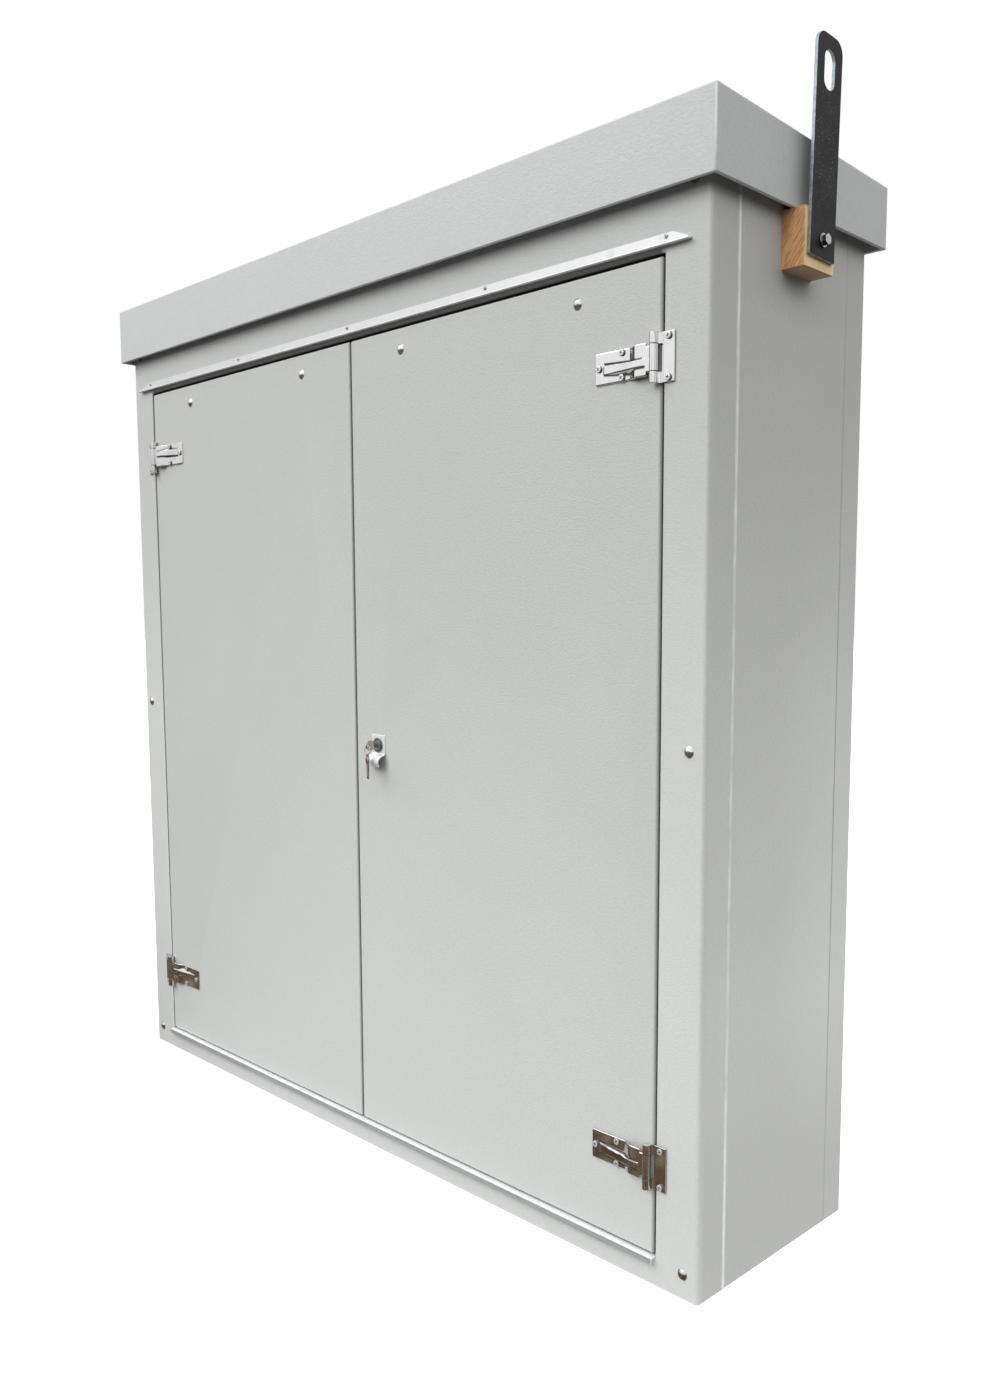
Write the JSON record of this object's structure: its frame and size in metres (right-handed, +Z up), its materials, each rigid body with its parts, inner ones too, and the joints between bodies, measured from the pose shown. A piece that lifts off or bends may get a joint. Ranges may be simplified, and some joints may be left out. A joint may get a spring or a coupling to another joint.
{
  "type": "double-door enclosure cabinet",
  "caption": "Outdoor glass-fibre equipment cabinet with hinged double doors, an overhanging sloped roof, a keyed cam lock with pull, and a lifting bar on one side.",
  "frame": {"origin": "on the floor, at the middle of the base bolt pattern under the middle of the body", "axes": "+X to the right seen from the front, +Y from the doors to the back, +Z up"},
  "size_m": [1.2546, 0.3505, 1.3432],
  "materials": {
    "grp": "light grey moulded glass fibre with a fine leather grain",
    "grp_inside": "rough laminate side of glass fibre",
    "sealant": "pale grey tooled sealant",
    "stainless": "polished stainless steel",
    "bright_aluminium": "bright extruded aluminium",
    "galvanised": "hot-dip galvanised steel",
    "plywood": "bare exterior plywood and timber",
    "oak": "sawn oak",
    "black_steel": "black painted flat bar with bright cut edges",
    "rubber_seal": "black sponge rubber"
  },
  "bodies": {
    "cabinet": {"front_frame": "grp", "left_side_panel": "grp", "right_side_panel": "grp", "back_panel": "grp", "roof": "grp", "top_frame": "plywood", "base_frame": "galvanised", "stile_angles": "galvanised", "seam_straps": "grp_inside", "seam_sealant": "sealant", "equipment_board": "plywood", "board_battens": "plywood", "board_screws": "stainless", "door_gasket": "rubber_seal", "drip_rail": "bright_aluminium", "drip_rail_rivets": "bright_aluminium", "sill_trim": "bright_aluminium", "frame_bolts": "stainless", "left_upper_frame_leaf": "stainless", "left_lower_frame_leaf": "stainless", "right_upper_frame_leaf": "stainless", "right_lower_frame_leaf": "stainless", "hinge_pins": "stainless", "frame_leaf_screws": "stainless", "bolt_wear_plates": "stainless", "lug_block": "oak", "lifting_bar": "black_steel", "lug_bolt": "stainless", "lug_washer": "stainless", "lug_inner_plate": "galvanised"},
    "left_door": {"left_door_skin": "grp", "left_door_core": "plywood", "left_door_stiffener": "bright_aluminium", "left_door_bolts": "stainless", "left_upper_door_leaf": "stainless", "left_lower_door_leaf": "stainless", "left_leaf_screws": "stainless", "meeting_seal": "rubber_seal", "bolt_guides": "galvanised", "cam_keeper": "galvanised"},
    "right_door": {"right_door_skin": "grp", "right_door_core": "plywood", "right_door_stiffener": "bright_aluminium", "right_door_bolts": "stainless", "right_upper_door_leaf": "stainless", "right_lower_door_leaf": "stainless", "right_leaf_screws": "stainless", "pull_plate": "stainless", "lock_barrel": "stainless", "lock_nut": "stainless"},
    "lock": {"lock_plug": "stainless", "lock_cam": "galvanised", "cam_screw": "stainless", "key": "stainless"},
    "spare_keys": {"key_ring": "stainless", "spare_key": "stainless"},
    "top_bolt": {"top_shoot_bolt": "stainless"},
    "bottom_bolt": {"bottom_shoot_bolt": "stainless"}
  },
  "joints": [
    {"name": "right_door_hinge", "type": "hinge", "parent": "cabinet", "child": "right_door", "pos_m": [0.5322, -0.1535, 0.57], "axis": [0, 0, 1], "range_deg": [0, 110]},
    {"name": "left_door_hinge", "type": "hinge", "parent": "cabinet", "child": "left_door", "pos_m": [-0.5322, -0.1535, 0.57], "axis": [0, 0, -1], "range_deg": [0, 110]},
    {"name": "lock_turn", "type": "hinge", "parent": "right_door", "child": "lock", "pos_m": [0.054, -0.1475, 0.571], "axis": [0, 1, 0], "range_deg": [0, 90]},
    {"name": "spare_key_swing", "type": "hinge", "parent": "lock", "child": "spare_keys", "pos_m": [0.054, -0.166, 0.571], "axis": [1, 0, 0], "range_deg": [-60, 0]},
    {"name": "top_bolt_slide", "type": "slide", "parent": "left_door", "child": "top_bolt", "axis": [0, 0, 1], "range_m": [0, 0.02]},
    {"name": "bottom_bolt_slide", "type": "slide", "parent": "left_door", "child": "bottom_bolt", "axis": [0, 0, -1], "range_m": [0, 0.02]}
  ]
}
